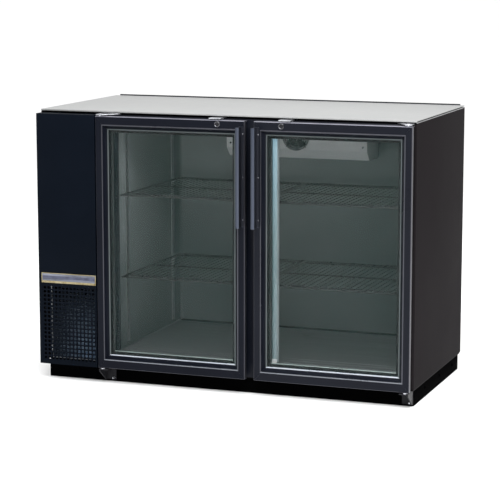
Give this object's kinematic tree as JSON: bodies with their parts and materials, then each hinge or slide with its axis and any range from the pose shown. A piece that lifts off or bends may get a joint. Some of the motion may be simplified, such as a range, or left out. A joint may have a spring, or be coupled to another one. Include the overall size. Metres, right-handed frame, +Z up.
{
  "type": "undercounter refrigerator",
  "caption": "Low black back-bar refrigerator with framed glass doors, wire shelves, a side compressor bay with a grille, and a galvanised top.",
  "frame": {"origin": "on the floor, at the centre of the overall box", "axes": "+X to the right seen from the front, +Y to the back, +Z up; the doors face -Y"},
  "size_m": [1.222, 0.662, 0.868],
  "materials": {
    "black_panel": "black vinyl-clad steel, satin",
    "base_black": "matt black paint",
    "black_frame": "black anodised extrusion, satin",
    "galvanised": "bare galvanised sheet",
    "foam": "foamed insulation",
    "liner": "pale coated sheet",
    "stainless": "brushed",
    "badge": "plain striped strip, no lettering",
    "compressor_black": "black enamel",
    "coil_metal": "bare fins",
    "fan_plastic": "moulded black",
    "box_grey": "moulded grey",
    "rubber": "black",
    "shelf_wire": "black coated wire",
    "zinc": "bright zinc plate",
    "glass": "clear, faint green",
    "spacer": "satin",
    "handle": "dark anodised, satin",
    "white_plastic": "white moulding",
    "light": "opal light cover"
  },
  "bodies": {
    "cabinet": {"back_panel": "black_panel", "base_frame": "base_black", "ceiling_wall": "foam", "centre_mullion": "black_panel", "compressor": "compressor_black", "condenser_coil": "coil_metal", "door_surround": "black_panel", "electrical_box": "box_grey", "evaporator_cover": "white_plastic", "fan_motor": "compressor_black", "floor_wall": "foam", "front_panel": "black_panel", "grille": "black_panel", "inner_liner": "liner", "interior_floor": "stainless", "led_light_bar": "light", "left_bottom_hinge": "zinc", "left_front_standard": "zinc", "left_lock_strike": "zinc", "left_rear_standard": "zinc", "left_side_panel": "black_panel", "left_top_hinge": "zinc", "nameplate": "badge", "partition_wall": "foam", "power_gland": "rubber", "rear_wall": "foam", "right_bottom_hinge": "zinc", "right_front_standard": "zinc", "right_lock_strike": "zinc", "right_rear_standard": "zinc", "right_side_panel": "black_panel", "right_top_hinge": "zinc", "right_wall": "foam", "top_panel": "galvanised"},
    "left_door": {"left_door_frame": "black_frame", "left_outer_glass": "glass", "left_inner_glass": "glass", "left_glass_spacer": "spacer", "left_door_gasket": "rubber", "left_door_handle": "handle"},
    "right_door": {"right_door_frame": "black_frame", "right_outer_glass": "glass", "right_inner_glass": "glass", "right_glass_spacer": "spacer", "right_door_gasket": "rubber", "right_door_handle": "handle"},
    "left_lock": {"left_lock": "zinc"},
    "right_lock": {"right_lock": "zinc"},
    "condenser_fan": {"condenser_fan": "fan_plastic"},
    "evaporator_fan": {"evaporator_fan": "fan_plastic"},
    "thermostat_knob": {"thermostat_knob": "fan_plastic"},
    "light_switch": {"light_switch": "fan_plastic"},
    "foot_front_left": {"foot_front_left": "rubber"},
    "foot_front_right": {"foot_front_right": "rubber"},
    "foot_rear_left": {"foot_rear_left": "rubber"},
    "foot_rear_right": {"foot_rear_right": "rubber"},
    "left_lower_shelf": {"left_lower_shelf": "shelf_wire"},
    "left_upper_shelf": {"left_upper_shelf": "shelf_wire"},
    "right_lower_shelf": {"right_lower_shelf": "shelf_wire"},
    "right_upper_shelf": {"right_upper_shelf": "shelf_wire"}
  },
  "joints": [
    {"name": "left_door_hinge", "type": "hinge", "parent": "cabinet", "child": "left_door", "pos_m": [-0.3945, -0.283, 0.45], "axis": [0, 0, -1], "range_deg": [0, 120], "stiffness_Nm_per_rad": 1.6},
    {"name": "right_door_hinge", "type": "hinge", "parent": "cabinet", "child": "right_door", "pos_m": [0.5927, -0.283, 0.45], "axis": [0, 0, 1], "range_deg": [0, 120], "stiffness_Nm_per_rad": 1.6},
    {"name": "left_lock_turn", "type": "hinge", "parent": "left_door", "child": "left_lock", "pos_m": [-0.0035, -0.291, 0.838], "axis": [0, 1, 0], "range_deg": [0, 90]},
    {"name": "right_lock_turn", "type": "hinge", "parent": "right_door", "child": "right_lock", "pos_m": [0.2017, -0.291, 0.838], "axis": [0, -1, 0], "range_deg": [0, 90]},
    {"name": "condenser_fan_spin", "type": "hinge", "parent": "cabinet", "child": "condenser_fan", "pos_m": [-0.51, -0.161, 0.19], "axis": [0, 1, 0], "continuous": true},
    {"name": "evaporator_fan_spin", "type": "hinge", "parent": "cabinet", "child": "evaporator_fan", "pos_m": [0.0991, 0.17, 0.762], "axis": [0, 1, 0], "continuous": true},
    {"name": "thermostat_turn", "type": "hinge", "parent": "cabinet", "child": "thermostat_knob", "pos_m": [-0.085, 0.15, 0.77], "axis": [0, -1, 0], "range_deg": [0, 270]},
    {"name": "light_switch_rock", "type": "hinge", "parent": "cabinet", "child": "light_switch", "pos_m": [0.283, 0.1515, 0.77], "axis": [1, 0, 0], "range_deg": [-7, 7]},
    {"name": "foot_front_left_screw", "type": "slide", "parent": "cabinet", "child": "foot_front_left", "axis": [0, 0, -1], "range_m": [0, 0.015]},
    {"name": "foot_front_right_screw", "type": "slide", "parent": "cabinet", "child": "foot_front_right", "axis": [0, 0, -1], "range_m": [0, 0.015]},
    {"name": "foot_rear_left_screw", "type": "slide", "parent": "cabinet", "child": "foot_rear_left", "axis": [0, 0, -1], "range_m": [0, 0.015]},
    {"name": "foot_rear_right_screw", "type": "slide", "parent": "cabinet", "child": "foot_rear_right", "axis": [0, 0, -1], "range_m": [0, 0.015]},
    {"name": "left_lower_shelf_lift", "type": "slide", "parent": "cabinet", "child": "left_lower_shelf", "axis": [0, 0, 1], "range_m": [0, 0.012]},
    {"name": "left_upper_shelf_lift", "type": "slide", "parent": "cabinet", "child": "left_upper_shelf", "axis": [0, 0, 1], "range_m": [0, 0.012]},
    {"name": "right_lower_shelf_lift", "type": "slide", "parent": "cabinet", "child": "right_lower_shelf", "axis": [0, 0, 1], "range_m": [0, 0.012]},
    {"name": "right_upper_shelf_lift", "type": "slide", "parent": "cabinet", "child": "right_upper_shelf", "axis": [0, 0, 1], "range_m": [0, 0.012]}
  ]
}
